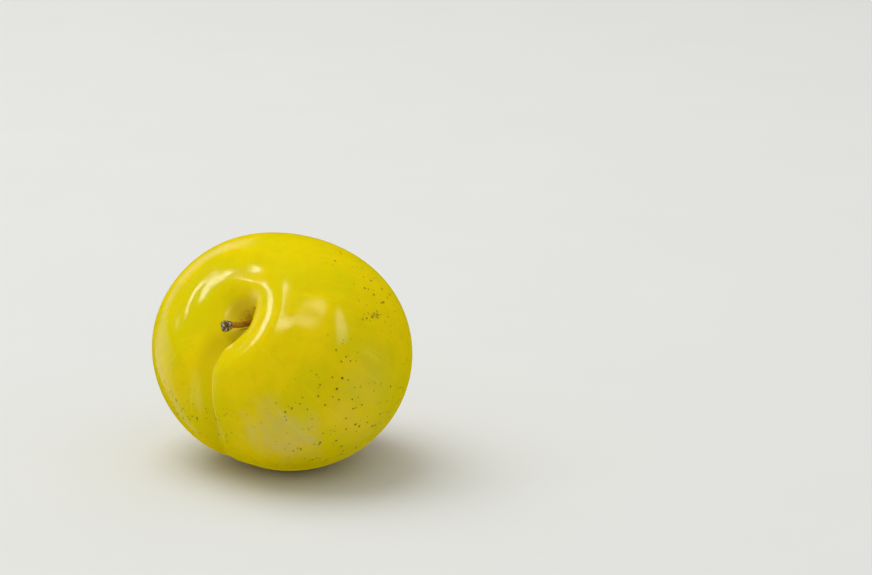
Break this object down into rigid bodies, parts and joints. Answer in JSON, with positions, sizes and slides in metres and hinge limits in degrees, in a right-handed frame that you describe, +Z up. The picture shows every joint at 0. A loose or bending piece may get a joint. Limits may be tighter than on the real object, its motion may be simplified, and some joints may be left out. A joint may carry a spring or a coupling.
{
  "type": "plum",
  "caption": "Whole ripe yellow plum with a suture groove, a funnel-shaped stem cavity and a short knobbed stem, lying on its suture side.",
  "frame": {"origin": "middle of the flat spot that the plum rests on", "axes": "+Z up from the surface that it lies on; -Y is the side from which the stem cavity and the suture are seen, with the stem towards -X and -Y"},
  "size_m": [0.0565, 0.055, 0.0504],
  "materials": {
    "skin": "smooth waxy fruit skin with a clear gloss, bloom and fine brown dots",
    "stem": "dry, matt and fibrous, with a dark cracked corky knob"
  },
  "bodies": {
    "root": {"fruit": "skin", "stem": "stem"}
  },
  "joints": []
}
